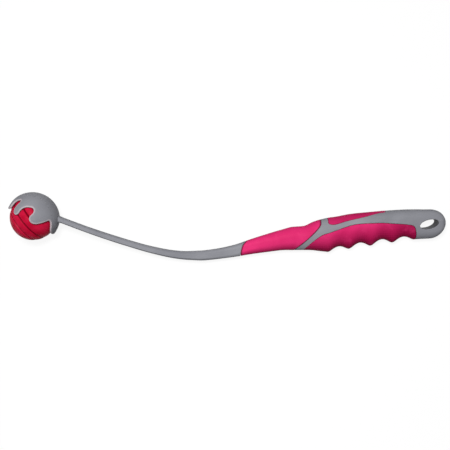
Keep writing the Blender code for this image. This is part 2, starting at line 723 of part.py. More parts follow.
def main():
    for leftover in list(bpy.data.objects):
        bpy.data.objects.remove(leftover)
    grey = plastic("grey plastic", (0.26, 0.265, 0.292), 0.48)
    pink = plastic("pink soft grip", (0.68, 0.026, 0.145), 0.58)
    red = plastic("red rubber", (0.52, 0.008, 0.042), 0.45)
    grip_rooms = grip_room_cutter()
    pieces = [claw_cup(grey), throwing_arm(grey, grip_rooms)]
    pieces += handle_shells(grey, grip_rooms)
    pieces += soft_grips(pink)
    release, ball = rubber_ball(red)
    root = bpy.data.objects.new("thrower", None)
    bpy.context.scene.collection.objects.link(root)
    for piece in list(bpy.data.objects):
        if piece not in (root, ball):
            piece.parent = root
    bpy.context.view_layer.update()
    lay_on_side(root, [*pieces, ball])
    bpy.context.view_layer.update()


main()
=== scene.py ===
# %% [markdown]
# # A dog ball thrower
#
# The thrower is a claw cup on a long bent arm. Its handle is two grey half shells with three soft pink
# grips let into them, and a grooved rubber ball sits in the cup. A measured model of it is loaded first:
# it says where each piece lies and which way the ball leaves. The lesson then lays a finer surface over
# each measured piece, gives it a finish, and lights and frames the whole.

import json
import math
from bisect import bisect_right
from functools import lru_cache

import bmesh
import bpy
from mathutils import Matrix, Vector
from mathutils.geometry import delaunay_2d_cdt


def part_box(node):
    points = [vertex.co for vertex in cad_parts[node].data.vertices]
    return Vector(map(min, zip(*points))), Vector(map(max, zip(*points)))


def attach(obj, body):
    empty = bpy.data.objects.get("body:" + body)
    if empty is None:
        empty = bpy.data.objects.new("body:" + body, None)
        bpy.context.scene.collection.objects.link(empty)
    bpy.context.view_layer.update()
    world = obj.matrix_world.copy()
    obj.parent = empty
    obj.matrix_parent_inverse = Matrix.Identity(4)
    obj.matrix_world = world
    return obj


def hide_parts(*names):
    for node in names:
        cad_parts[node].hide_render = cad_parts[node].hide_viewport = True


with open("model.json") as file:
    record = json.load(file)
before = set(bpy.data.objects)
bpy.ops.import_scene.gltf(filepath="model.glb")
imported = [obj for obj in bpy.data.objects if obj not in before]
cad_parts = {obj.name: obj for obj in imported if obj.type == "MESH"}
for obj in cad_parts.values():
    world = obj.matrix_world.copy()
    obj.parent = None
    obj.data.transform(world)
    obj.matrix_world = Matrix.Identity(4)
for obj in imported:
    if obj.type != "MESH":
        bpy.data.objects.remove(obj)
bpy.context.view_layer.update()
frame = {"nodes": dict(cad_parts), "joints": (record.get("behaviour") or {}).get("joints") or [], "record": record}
print("measured pieces:", ", ".join(sorted(frame["nodes"])))

# %% [markdown]
# ## The thrower's own directions
#
# The thrower lies on its side, a little tilted, so world directions are awkward to think in. A maker
# would draw it upright: X from the middle of the cup to the tail, Y to the thumb side, Z across. Two
# things in the measured record give those directions back: the flat side of the arm faces along Z, and
# the ball leaves straight away from the cup's closed pole. So the drawing can be turned into place with
# one matrix, and each shape below is written in the easy upright way.

# %% Sizes of the whole thrower, in metres
SPINE_LENGTH = 0.5256  # middle of the cup to the tip of the tail
SPINE_SAG = 0.0457  # how far the middle line dips
ARM_DEPTH = 0.0090
ARM_WIDTH = 0.0124
HANDLE_DEPTH = 0.0434
HANDLE_WIDTH = 0.0290
CUP_RADIUS = 0.0340
CUP_AIM = 59  # degrees above X to the cup's closed pole

# Each row of these tables starts with a share of SPINE_LENGTH. The numbers after it are shares of the
# size that the table is named after, or of the half width and the half depth that a corner takes up.
middle_line_shares = (
    (0.065, -0.015), (0.144, -0.354), (0.232, -0.686), (0.29, -0.875), (0.348, -1.006), (0.377, -1.032),
    (0.406, -1.033), (0.435, -1.004), (0.465, -0.953), (0.494, -0.889), (0.523, -0.802), (0.566, -0.687),
    (0.61, -0.583), (0.629, -0.554), (0.658, -0.539), (0.68, -0.486), (0.701, -0.461), (0.727, -0.443),
    (0.771, -0.35), (0.815, -0.288), (0.858, -0.227), (0.902, -0.182), (0.931, -0.153), (0.96, -0.145),
    (1.0, -0.104),
)
arm_depth_shares = (
    (0.05, 0.79), (0.13, 0.82), (0.19, 0.865), (0.232, 0.88), (0.29, 0.94), (0.348, 1.065), (0.377, 1.17),
    (0.406, 1.325), (0.435, 1.41), (0.465, 1.525),
)
handle_depth_shares = (
    (0.494, 0.357), (0.523, 0.425), (0.566, 0.526), (0.61, 0.623), (0.629, 0.684), (0.658, 0.71),
    (0.68, 0.836), (0.701, 0.947), (0.727, 1.029), (0.771, 1.023), (0.815, 1.0), (0.858, 0.961),
    (0.902, 0.925), (0.931, 0.87), (0.962, 0.8485), (1.0, 0.82),
)
arm_width_shares = ((0.05, 1.0), (0.434, 1.0))
handle_width_shares = (
    (0.493, 0.48), (0.54, 0.63), (0.6, 0.78), (0.657, 0.9), (0.725, 1.0), (0.8, 1.0), (0.87, 0.95),
    (0.91, 0.88), (0.935, 0.86), (1.0, 0.86),
)
corner_shares = (
    (0.05, 0.4, 0.42), (0.40, 0.4, 0.42), (0.493, 0.7, 0.62), (0.56, 0.93, 0.78), (0.657, 0.97, 0.84),
    (0.8, 0.97, 0.84), (0.91, 0.86, 0.7), (0.935, 0.76, 0.6), (1.0, 0.76, 0.6),
)
chamfer_shares = ((0.05, 0.9), (0.40, 0.9), (0.48, 0.0), (1.0, 0.0))  # 1 is a chamfer, 0 an ellipse
# How much of the flat side the lower corners' rounding takes
belly_shares = ((0.05, 0.0), (0.5, 0.0), (0.6, 0.9), (0.88, 0.9), (0.935, 0.0), (1.0, 0.0))

# %% A smooth curve through a few measured points
def smooth(table, x):
    """The height at x of a smooth curve through the points of a table, without overshoot."""
    xs, ys, slopes = table
    if x <= xs[0]:
        return ys[0]
    if x >= xs[-1]:
        return ys[-1]
    i = bisect_right(xs, x) - 1
    span = xs[i + 1] - xs[i]
    t = (x - xs[i]) / span
    return (
        ys[i] * (1 + 2 * t) * (1 - t) ** 2 + ys[i + 1] * t * t * (3 - 2 * t)
        + span * slopes[i] * t * (1 - t) ** 2 + span * slopes[i + 1] * t * t * (t - 1)
    )


def curve(points):
    """Gets a curve ready: its places, its heights, and a slope for each point."""
    xs, ys = [p[0] for p in points], [p[1] for p in points]
    steps = [(ys[i + 1] - ys[i]) / (xs[i + 1] - xs[i]) for i in range(len(xs) - 1)]
    slopes = [steps[0]]
    for before, after in zip(steps, steps[1:]):
        slopes.append(0.0 if before * after <= 0 else 2 * before * after / (before + after))
    return xs, ys, [*slopes, steps[-1]]


def sized(table, size=1.0, column=1):
    """Rows of shares as rows of metres: the place along X, and one column times a size."""
    return [(SPINE_LENGTH * row[0], size * row[column]) for row in table]


middle_line = curve(sized(middle_line_shares, SPINE_SAG))
depth_line = curve(sized(arm_depth_shares, ARM_DEPTH) + sized(handle_depth_shares, HANDLE_DEPTH))
width_line = curve(sized(arm_width_shares, ARM_WIDTH) + sized(handle_width_shares, HANDLE_WIDTH))
corner_across = curve(sized(corner_shares))
corner_along = curve(sized(corner_shares, column=2))
chamfer_line = curve(sized(chamfer_shares))
belly_line = curve(sized(belly_shares))
print("depth of the arm at its middle, mm:", round(1000 * smooth(depth_line, SPINE_LENGTH / 4), 2))

# %% Turn the upright drawing into place
def throwing_frame():
    """The matrix from the upright drawing to where the thrower lies."""
    near_side = next(m for m in frame["record"]["mounts"] if m["name"] == "arm_side_near")
    across = Vector(near_side["axis"]).normalized()
    leaving = Vector(frame["joints"][0]["axis"])
    pole = -(leaving - across * leaving.dot(across)).normalized()
    beside = across.cross(pole)
    aim = math.radians(CUP_AIM)
    along = pole * math.cos(aim) - beside * math.sin(aim)
    thumb = pole * math.sin(aim) + beside * math.cos(aim)
    x = SPINE_LENGTH / 5  # the record measures the arm's flat side here
    flat = Vector((x, smooth(middle_line, x), ARM_WIDTH / 2))
    turn = Matrix((along, thumb, across)).transposed()
    return Matrix.Translation(Vector(near_side["pos_m"]) - turn @ flat) @ turn.to_4x4()


lying = throwing_frame()
print("middle of the cup, mm:", [round(1000 * c, 1) for c in lying.translation])

# %% [markdown]
# ## Sections of the arm and the handle
#
# Arm and handle are one long form whose section changes slowly: a flat bar with chamfered edges grows
# into a round-backed handle. It could be modelled by pulling a box about, but the measurements are
# a side view and a top view, so it is built as a loft: a ring for each place along X, a rectangle with
# chamfered or elliptic corners, skinned from ring to ring. Four finger hollows lift the underside.

# %% Sizes of the handle's details
FINGER_PITCH = 0.0275
FINGER_HOLLOW = 0.0058  # depth of a finger's hollow
RIDGE_SHARE = 0.4  # how round the ridges between the hollows are
FINGERS = 4
TAIL_ROUND = 0.0185  # length of the tail's rounded end
TAIL_FULL = 0.9998  # how much of its rounded end the tail has; the rest is a hair-thin flat tip
TAIL_EDGE = 0.0080  # radius of the tail, seen from above
GRIP_SKIN = 0.0016  # thickness of the soft grips
CLEARANCE = 0.0003  # between a piece and its neighbour
HOLLOW_START_SHARE = 0.7161
hollow_start = SPINE_LENGTH * HOLLOW_START_SHARE
hollow_end = hollow_start + FINGERS * FINGER_PITCH
tail_start = SPINE_LENGTH - TAIL_ROUND
print("finger hollows from", round(hollow_start, 4), "to", round(hollow_end, 4))

# %% One section, and the places of all of them
def aim_vector(degrees):
    """A unit vector at an angle from +X towards +Y."""
    return Vector((math.cos(math.radians(degrees)), math.sin(math.radians(degrees)), 0))


def finger_hollow(x):
    """How deep the finger hollows are at X: wide valleys between round ridges."""
    if not hollow_start < x < hollow_end:
        return 0.0
    wave = math.sin(math.pi * (x - hollow_start) / FINGER_PITCH)
    crest = math.hypot(1, RIDGE_SHARE) - RIDGE_SHARE
    return FINGER_HOLLOW * (math.hypot(wave, RIDGE_SHARE) - RIDGE_SHARE) / crest


@lru_cache(maxsize=None)
def shape_at(x, inset=0.0):
    """Height of the middle line, depth above and below it, half width, and the corners' radii."""
    past = min(max((x - tail_start) / (TAIL_ROUND - inset), 0.0), TAIL_FULL)
    taper = math.sqrt(1 - past * past)
    half = smooth(depth_line, x) / 2
    above = (half - inset) * taper
    below = (half - finger_hollow(x) - inset) * taper
    edge = TAIL_EDGE - inset
    over = max(x - (SPINE_LENGTH - inset - edge), 0.0)
    rounded = edge - math.sqrt(max(edge * edge - over * over, 0.0))
    wide = smooth(width_line, x) / 2 - inset - rounded
    across = wide * smooth(corner_across, x)
    along = min(above, below) * smooth(corner_along, x)
    along_low = along + (above + below - 2 * along) * smooth(belly_line, x)
    return smooth(middle_line, x), above, below, wide, across, along, along_low


def ring(x, shape, corner_steps=10):
    """The points round a section at X."""
    middle, above, below, wide, across, along, along_low = shape
    flat = smooth(chamfer_line, x)
    points = []
    for quarter in range(4):
        side = 1 if quarter in (0, 3) else -1
        up, depth, tall = (1, above, along) if quarter < 2 else (-1, below, along_low)
        start, end = aim_vector(90 * quarter), aim_vector(90 * (quarter + 1))
        for step in range(corner_steps + 1):
            share = step / corner_steps
            corner = aim_vector(90 * (quarter + share)).lerp(start.lerp(end, share), flat)
            z = side * (wide - across) + across * corner.x
            points.append(Vector((x, middle + up * (depth - tall) + tall * corner.y, z)))
    return points


def stations(start, end, pitch=0.002, tail_steps=18):
    """X values from start to end, and closer ones round the tail's end."""
    body_end = min(end, tail_start)
    count = max(round((body_end - start) / pitch), 1)
    found = [start + (body_end - start) * i / count for i in range(count)]
    if end > tail_start:
        last_turn = math.radians(88)
        reach = (end - tail_start) / math.sin(last_turn)
        found += [tail_start + reach * math.sin(last_turn * i / tail_steps) for i in range(tail_steps)]
    return [*found, end]


print("half width at the first finger hollow, mm:", round(1000 * shape_at(hollow_start)[3], 2))

# %% Meshes from rings
def band(mesh, near, far):
    """Closes the band between two loops with four-sided faces."""
    for i in range(len(near)):
        j = (i + 1) % len(near)
        mesh.faces.new((near[i], near[j], far[j], far[i]))


def loft(rings):
    """A closed mesh through rings with the same number of points, with flat ends."""
    mesh = bmesh.new()
    loops = [[mesh.verts.new(point) for point in points] for points in rings]
    for near, far in zip(loops, loops[1:]):
        band(mesh, near, far)
    mesh.faces.new(loops[0])
    mesh.faces.new(loops[-1])
    bmesh.ops.recalc_face_normals(mesh, faces=mesh.faces)
    return mesh


def prism(outline, low, high):
    """A side outline, extruded across the thrower from low to high."""
    return loft([[Vector((p[0], p[1], z)) for p in outline] for z in (low, high)])


def in_scene(name, data):
    """A new object in the scene, for a mesh, a lamp or a lens."""
    made = bpy.data.objects.new(name, data)
    bpy.context.scene.collection.objects.link(made)
    return made


def form(name, mesh):
    """An object in the upright drawing."""
    data = bpy.data.meshes.new(name)
    mesh.to_mesh(data)
    mesh.free()
    return in_scene(name, data)


def combine(shape, tools, operation="DIFFERENCE"):
    """Cuts the tools out of a form, or joins them to it, and keeps only the result."""
    for tool in tools:
        step = shape.modifiers.new("step", "BOOLEAN")
        step.operation = operation
        step.object = tool
        step.solver = "EXACT"
    graph = bpy.context.evaluated_depsgraph_get()
    result = bpy.data.meshes.new_from_object(shape.evaluated_get(graph))
    shape.modifiers.clear()
    shape.data = result
    return shape


def clear_away(*tools):
    """Removes helper forms that have done their work."""
    for tool in tools:
        bpy.data.objects.remove(tool)


def body(inset, start, end):
    """The whole handle as one closed form, drawn in by inset."""
    return loft([ring(x, shape_at(x, inset)) for x in stations(start, end - inset)])


print("ready to loft and cut")

# %% [markdown]
# ## Finishes
#
# Three materials make the whole thrower, and all three are matt mouldings seen from close by. A flat
# colour would look like a drawing, so each finish is built from layers: two tones that drift over
# centimetres, a fine grain for the mould's texture, and uneven gloss where hands have been. Light and
# shade are painted in as well: a painted highlight and a painted red reflection make the claws' rims
# paler; painted shade darkens the edges of the grips, the wall of the hanging hole and the ball's grooves;
# and the soft rubber takes painted shade towards its underside and the finger grip's rear, where it is
# also finely dotted, with painted shade on the dots. The top pad is evenly a little darker. These
# last layers follow values that the meshes carry, so they stay on the object from every side.

# %% Nodes, and patches of noise
def finish(name):
    """A new material, its shader, and coordinates in metres on the object."""
    material = bpy.data.materials.new(name)
    material.use_nodes = True
    nodes = material.node_tree.nodes
    return material, nodes["Principled BSDF"], nodes.new("ShaderNodeTexCoord").outputs["Object"]


def feed(node, sockets):
    """Sets sockets of a node to values, or joins them to another node's output."""
    for socket, value in sockets.items():
        if isinstance(value, bpy.types.NodeSocket):
            node.id_data.links.new(value, node.inputs[socket])
        else:
            node.inputs[socket].default_value = value
    return node


def add(beside, kind, sockets):
    """A new node, fed, in the same tree as the node or socket beside it."""
    return feed(beside.id_data.nodes.new(kind), sockets)


def speckle(place, size, detail, stretch=(1, 1, 1)):
    """Soft noise whose spots are about so many metres across."""
    scale = tuple(1 / size / s for s in stretch)
    mapping = add(place, "ShaderNodeMapping", {"Vector": place, "Scale": scale})
    sockets = {"Vector": mapping.outputs["Vector"], "Scale": 1, "Detail": detail}
    return add(place, "ShaderNodeTexNoise", sockets).outputs["Fac"]


def ramp(value, start, full, least=0.0, most=1.0):
    """Spreads the part of a value between start and full over the range from least to most."""
    sockets = {"Value": value, "From Min": start, "From Max": full, "To Min": least, "To Max": most}
    return add(value, "ShaderNodeMapRange", sockets).outputs["Result"]


def patches(place, size, detail=4, start=0.3, full=0.7, least=0.0, most=1.0, stretch=(1, 1, 1)):
    """Speckle with its levels spread: the least of it under the level start, the most over full."""
    return ramp(speckle(place, size, detail, stretch), start, full, least, most)


print("ready to make patches")

# %% Dots, tones and grain
def stipple(place, pitch):
    """Small round dots in even rows, a pitch apart: 1 on a dot, 0 between."""
    dots = add(place, "ShaderNodeTexVoronoi", {"Vector": place, "Scale": 1 / pitch, "Randomness": 0})
    dots.voronoi_dimensions = "2D"
    return ramp(dots.outputs["Distance"], start=0.22, full=0.42, least=1, most=0)


def reckon(operation, first, second):
    """Two values put through one operation, such as MULTIPLY."""
    sums = add(first, "ShaderNodeMath", {0: first, 1: second})
    sums.operation = operation
    return sums.outputs[0]


def carried(shader, name):
    """A value that the mesh carries."""
    node = add(shader, "ShaderNodeAttribute", {})
    node.attribute_name = name
    return node.outputs["Fac"]


def lay_tones(tone, layers):
    """Lays colours over a tone, one after another: each with how much of it shows."""
    for share, colour in layers:
        mix = add(share, "ShaderNodeMix", {})
        mix.data_type = "RGBA"
        tone = feed(mix, {"Factor": share, 6: tone, 7: colour}).outputs[2]
    return tone


def grain(layers):
    """Bumps laid over one another: for each, the height's source and how high it is in metres."""
    under = {}
    for source, height in layers:
        bump = add(source, "ShaderNodeBump", {"Strength": 1, "Distance": height, "Height": source, **under})
        under = {"Normal": bump.outputs["Normal"]}
    return under["Normal"]


print("ready to lay tones, dots and grain")

# %% Grey moulding: cool matt plastic
GREY_DARK = (0.215, 0.218, 0.242, 1)
GREY_LIGHT = (0.268, 0.272, 0.298, 1)
GREY_RUBBED = (0.33, 0.333, 0.355, 1)
# painted highlight and painted reflection of the red ball, on the claws' rims
GREY_RIM_HIGHLIGHT = (0.52, 0.45, 0.48, 1)
# painted shade on the hanging hole's wall
GREY_HOLE_SHADE = (0.045, 0.046, 0.053, 1)

grey, shader, place = finish("grey_moulding")
drift = patches(place, size=0.05, detail=3, start=0.35, full=0.65)
flow = patches(place, size=0.004, start=0.58, full=0.72, most=0.22, stretch=(9, 1, 1))
mottle = patches(place, size=0.0009, detail=3, most=0.16)
# painted shade: the hanging hole's wall is nearly black
inner = ramp(carried(shader, "hole_shade_share"), start=0, full=1, most=0.92)
# painted highlight and painted red reflection: the claws' rims are paler and pinker
edge = ramp(carried(shader, "edge_share"), start=0.25, full=0.8, most=0.75)
feed(shader, {
    "Base Color": lay_tones(GREY_DARK, [
        (drift, GREY_LIGHT), (flow, GREY_RUBBED), (mottle, GREY_DARK),
        (inner, GREY_HOLE_SHADE), (edge, GREY_RIM_HIGHLIGHT),
    ]),
    "Roughness": patches(place, size=0.012, least=0.40, most=0.52),
    "IOR": 1.46,
    "Specular IOR Level": 0.06,
    "Normal": grain([
        (speckle(place, size=0.0011, detail=2), 0.00003),
        (speckle(place, size=0.00035, detail=3), 0.00002),
    ]),
})
print("made", grey.name)

# %% Pink grip: soft-touch rubber
PINK_DEEP = (0.59, 0.015, 0.118, 1)
PINK_LIGHT = (0.73, 0.030, 0.168, 1)
PINK_WORN = (0.80, 0.05, 0.21, 1)
# painted shade: darker towards the soft grips' undersides and the finger grip's rear
PINK_SHADE = (0.25, 0.002, 0.040, 1)
# painted shade in the dots of the finger grip's texture
PINK_DOT_SHADE = (0.16, 0.001, 0.028, 1)
# painted shadow along the grips' edges
PINK_EDGE_SHADOW = (0.16, 0.006, 0.032, 1)
DOT_PITCH = 0.0022

pink, shader, place = finish("soft_pink")
drift = patches(place, size=0.04, detail=3, start=0.35, full=0.65)
# painted shade carried by the grips: darker underneath and at the finger grip's rear
painted_shade = carried(shader, "painted_shade_share")
dots = reckon("MULTIPLY", stipple(place, DOT_PITCH), ramp(painted_shade, start=0.45, full=0.9))
# the dots are real texture, bumped below; their darker colour is painted shade
dot_shade = ramp(dots, start=0, full=1, most=0.5)
wear_and_painted_edge = patches(place, size=0.014, detail=5, start=0.56, full=0.74, most=0.3)
# painted shadow: a dark line along the grips' edges
edge = ramp(carried(shader, "edge_share"), start=0.25, full=0.9, most=0.85)
feed(shader, {
    "Base Color": lay_tones(PINK_DEEP, [
        (drift, PINK_LIGHT), (painted_shade, PINK_SHADE), (dot_shade, PINK_DOT_SHADE), (wear_and_painted_edge, PINK_WORN), (edge, PINK_EDGE_SHADOW),
    ]),
    "Roughness": patches(place, size=0.009, least=0.5, most=0.66),
    "Specular IOR Level": 0.05,
    "Sheen Weight": 0.02,
    "Sheen Roughness": 0.4,
    "Sheen Tint": (1.0, 0.55, 0.7, 1),
    "Normal": grain([
        (speckle(place, size=0.0016, detail=2), 0.00004),
        (speckle(place, size=0.0005, detail=3), 0.00003),
        (dots, 0.00012),
    ]),
})
print("made", pink.name)

# %% Red rubber: the ball's satin skin
RED_DEEP = (0.43, 0.003, 0.027, 1)
RED_LIGHT = (0.58, 0.010, 0.050, 1)
# painted shade in the ball's grooves
RED_GROOVE_SHADE = (0.14, 0.001, 0.008, 1)
RED_SCUFF = (0.64, 0.04, 0.09, 1)

red, shader, place = finish("red_rubber")
drift = patches(place, size=0.018, start=0.35, full=0.65)
# painted shade: the grooves' floors are much darker
groove = ramp(carried(shader, "groove_share"), start=0.1, full=0.8, most=0.88)
scuff = patches(place, size=0.003, detail=5, start=0.6, full=0.75, most=0.25, stretch=(1, 3, 1))
feed(shader, {
    "Base Color": lay_tones(RED_DEEP, [(drift, RED_LIGHT), (groove, RED_GROOVE_SHADE), (scuff, RED_SCUFF)]),
    "Roughness": patches(place, size=0.006, least=0.34, most=0.5),
    "Specular IOR Level": 0.04,
    "Normal": grain([
        (speckle(place, size=0.0022, detail=3), 0.00004),
        (speckle(place, size=0.0006, detail=2), 0.00003),
    ]),
})
print("made", red.name)

# %% Put a finished form into the frame
WELD_REACH = 0.000005


def weld(shape):
    """Joins the points that a Boolean leaves a hair apart, and cuts its many-sided faces up."""
    mesh = bmesh.new()
    mesh.from_mesh(shape.data)
    bmesh.ops.remove_doubles(mesh, verts=mesh.verts, dist=WELD_REACH)
    bmesh.ops.dissolve_degenerate(mesh, edges=mesh.edges, dist=WELD_REACH)
    many_sided = [face for face in mesh.faces if len(face.verts) > 4]
    bmesh.ops.triangulate(mesh, faces=many_sided, ngon_method="BEAUTY")
    mesh.to_mesh(shape.data)
    mesh.free()


def put_in_place(shape, material, node, carrier="thrower", crease=35):
    """Lays an upright form where its measured piece lies, and lets it stand for that piece."""
    weld(shape)
    shape.data.transform(lying)
    shape.data.materials.clear()
    shape.data.materials.append(material)
    shape.data.shade_smooth()
    shape.data.set_sharp_from_angle(angle=math.radians(crease))
    even = shape.modifiers.new("even shading", "WEIGHTED_NORMAL")
    even.keep_sharp = True
    corners = [v.co for v in shape.data.vertices]
    low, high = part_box(node)
    off = max(
        max(abs(min(c[k] for c in corners) - low[k]), abs(max(c[k] for c in corners) - high[k]))
        for k in range(3)
    )
    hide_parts(node)
    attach(shape, carrier)
    print(f"{node}: {len(corners)} points, {1000 * off:.2f} mm from its measured box at most")

# %% [markdown]
# ## Soft grips
#
# The grips are skins of soft rubber, 1.6 mm thick, let into the shells so that their faces run on from
# the plastic. What makes them look real is their edge: it rolls over a small radius into a hair's
# breadth of shadow. A Boolean would leave that edge knife-sharp and a Bevel modifier would trip over the
# curved outline. So the handle's skin is unrolled flat, with X one way and the distance round the
# section the other; the grip's outline is drawn on it, filled with even triangles, and rolled back on,
# with a few rings round the outline that sink along a quarter circle.

# %% Outlines of the soft grips, as shares of the length and of the half depth
sleeve_front_shares = (
    (0.521, 1.5), (0.517, 0.99), (0.511, 0.71), (0.508, 0.41), (0.506, -0.1), (0.505, -0.7), (0.505, -1.0),
    (0.505, -1.5),
)
sleeve_rear_shares = (
    (0.633, -1.5), (0.6365, -0.95), (0.651, -0.5), (0.667, -0.07), (0.688, 0.41), (0.6975, 0.7),
    (0.699, 1.0), (0.7005, 1.5),
)
top_pad_shares = (
    (0.7155, 1.5), (0.7155, 0.98), (0.7155, 0.8), (0.717, 0.69), (0.7235, 0.625), (0.7335, 0.62),
    (0.759, 0.675), (0.791, 0.75), (0.811, 0.815), (0.838, 0.92), (0.855, 0.99), (0.858, 1.5),
)
finger_grip_shares = (
    (0.9275, -1.5), (0.9275, -0.98), (0.9265, -0.5), (0.921, -0.07), (0.904, 0.09), (0.872, 0.22),
    (0.842, 0.335), (0.808, 0.405), (0.781, 0.42), (0.761, 0.375), (0.74, 0.3), (0.72, 0.185),
    (0.702, 0.07), (0.6825, -0.25), (0.6575, -0.96), (0.6535, -1.5),
)


def smooth_loop(corners, steps):
    """A smooth closed curve through the corners, with so many steps from one to the next."""
    outline = []
    for i in range(len(corners)):
        before, start, end, after = (corners[(i + k) % len(corners)] for k in (-1, 0, 1, 2))
        for step in range(steps):
            t = step / steps
            outline.append(
                start + t * (end - before) / 2
                + t * t * (before - 2.5 * start + 2 * end - 0.5 * after)
                + t * t * t * (1.5 * (start - end) + (after - before) / 2)
            )
    return outline


def side_outline(shares, steps=24):
    """A grip's outline, seen from the side."""
    corners = []
    for along, up in shares:
        x = SPINE_LENGTH * along
        corners.append(Vector((x, smooth(middle_line, x) + up * smooth(depth_line, x) / 2)))
    return smooth_loop(corners, steps)


def drawn_in(outline, by):
    """A closed outline with each corner moved inwards, square to the line through its neighbours."""
    count = len(outline)
    area = sum(a.cross(b) for a, b in zip(outline, outline[1:] + outline[:1]))
    moved = []
    for i, corner in enumerate(outline):
        way = (outline[(i + 1) % count] - outline[i - 1]).normalized()
        moved.append(corner + Vector((-way.y, way.x)) * by * math.copysign(1, area))
    return moved


print("corners of the three grips:", len(top_pad_shares), len(finger_grip_shares),
      len(sleeve_front_shares + sleeve_rear_shares))

# %% Unroll the handle's skin
@lru_cache(maxsize=None)
def runs(x):
    """Lengths of the five stretches of half a section: flat bottom, bend, side, bend, flat top."""
    _, above, below, wide, across, along, along_low = shape_at(x)
    low, high = (
        math.pi / 2 * math.sqrt((across * across + tall * tall) / 2) for tall in (along_low, along)
    )
    return wide - across, low, above + below - along_low - along, high, wide - across


def skin_point(x, reach, depth=0.0):
    """The place of an unrolled point: reach is the way round to it, + on the near side."""
    left, stretch = abs(reach), 0
    lengths = runs(x)
    while stretch < 4 and left > lengths[stretch]:
        left -= lengths[stretch]
        stretch += 1
    share = min(left / lengths[stretch], 1) if lengths[stretch] > 0 else 1
    middle, above, below, wide, across, along, along_low = shape_at(x, depth)
    turn = share * math.pi / 2
    z, y = (
        (share * (wide - across), -below),
        (wide - across + across * math.sin(turn), -below + along_low * (1 - math.cos(turn))),
        (wide, along_low - below + share * (above + below - along_low - along)),
        (wide - across + across * math.cos(turn), above - along + along * math.sin(turn)),
        ((1 - share) * (wide - across), above),
    )[stretch]
    return Vector((x, middle + y, math.copysign(z, reach)))


def reach_at(x, y, halvings=32):
    """The way round the near side from the bottom's middle to a height, found by halving."""
    low, high = 0.0, sum(runs(x))
    for _ in range(halvings):
        half = (low + high) / 2
        low, high = (half, high) if skin_point(x, half).y < y else (low, half)
    return low


girths = [2000 * sum(runs(x)) for x in stations(hollow_start, hollow_end)]
print("way round the handle at the finger hollows, mm:", round(min(girths), 1), "to", round(max(girths), 1))

# %% Fill an outline with triangles
def inside(point, outline):
    """Whether a point lies within a closed outline."""
    crossings = 0
    for start, end in zip(outline, outline[1:] + outline[:1]):
        if (start.y > point.y) != (end.y > point.y):
            crossings += point.x < start.x + (point.y - start.y) / (end.y - start.y) * (end.x - start.x)
    return crossings % 2 == 1


def filled(outline, pitch):
    """The outline's points with an even grid of points within it, and the triangles that join them."""
    closest = pitch * 0.55  # a grid point nearer to the outline than this would make thin triangles
    points = list(outline)
    low = Vector((min(p.x for p in outline), min(p.y for p in outline)))
    high = Vector((max(p.x for p in outline), max(p.y for p in outline)))
    row_height = pitch * math.sqrt(3) / 2
    for row in range(1, int((high.y - low.y) / row_height) + 1):
        for column in range(int((high.x - low.x) / pitch) + 1):
            point = low + Vector((pitch * (column + row % 2 / 2), row_height * row))
            if inside(point, outline) and min((point - p).length for p in outline) > closest:
                points.append(point)
    edges = [(i, (i + 1) % len(outline)) for i in range(len(outline))]
    only_inside, nearest = 1, pitch / 1000
    found = delaunay_2d_cdt(points, edges, [list(range(len(outline)))], only_inside, nearest)
    return found[0], found[2]


def evenly(outline, pitch):
    """A closed outline with its points a pitch apart."""
    ends = outline[1:] + outline[:1]
    total = sum((end - start).length for start, end in zip(outline, ends))
    count = round(total / pitch)
    points, done, due = [], 0.0, 0
    for start, end in zip(outline, ends):
        length = (end - start).length
        while due < count and total * due / count <= done + length and length > 0:
            points.append(start.lerp(end, (total * due / count - done) / length))
            due += 1
        done += length
    return points


print("ready to fill outlines")

# %% Give a filled outline thickness
def finish_layers(mesh):
    """What a mesh carries for its finish: nearness to a rim, for painted edge highlight and shadow, and painted
    shade.
    """
    return [mesh.verts.layers.float.new(name) for name in ("edge_share", "painted_shade_share")]


def skin(edge, profile, pitch, put, painted_edge_reach, painted_shade=lambda point: 0):
    """A skin with an outline: profile goes round its rim, as the way in from the edge and the depth."""
    mesh = bmesh.new()
    wear_and_painted_edge, shade_layer = finish_layers(mesh)
    loops = []
    for way_in, depth in profile:
        inward = drawn_in(edge, way_in)
        loops.append([mesh.verts.new(put(point, depth)) for point in inward])
        for point, corner in zip(inward, loops[-1]):
            # painted edge light and shade: full at the rim, none past the reach given
            corner[wear_and_painted_edge] = 1 - way_in / painted_edge_reach
            corner[shade_layer] = painted_shade(point)
    points, triangles = filled(drawn_in(edge, profile[0][0]), pitch)
    amid = points[len(edge):]
    outer = loops[0] + [mesh.verts.new(put(point, profile[0][1])) for point in amid]
    for point, corner in zip(amid, outer[len(edge):]):
        corner[shade_layer] = painted_shade(point)
    inner = loops[-1] + [mesh.verts.new(put(point, profile[-1][1])) for point in amid]
    for triangle in triangles:
        mesh.faces.new([outer[i] for i in triangle])
        mesh.faces.new([inner[i] for i in reversed(triangle)])
    for upper, lower in zip(loops, loops[1:]):
        for i in range(len(edge)):
            j = (i + 1) % len(edge)
            mesh.faces.new((upper[i], lower[i], lower[j], upper[j]))
    bmesh.ops.recalc_face_normals(mesh, faces=mesh.faces)
    return mesh


def round_rim(radius, degrees, steps):
    """A rim's profile: an arc from the outer face, as pairs of the way in and the depth."""
    turns = [math.pi / 2 - math.radians(degrees) * i / steps for i in range(steps + 1)]
    return [(radius * (1 - math.cos(a)), radius * (1 - math.sin(a))) for a in turns]


GRIP_EDGE = 0.0009  # radius of a grip's rolled edge, and how far in from it the painted edge shadow reaches
grip_rim = [*round_rim(GRIP_EDGE, 90, 4), (0.0, GRIP_SKIN)]
print("profile of a grip's rim, mm:", [(round(1000 * a, 2), round(1000 * b, 2)) for a, b in grip_rim])

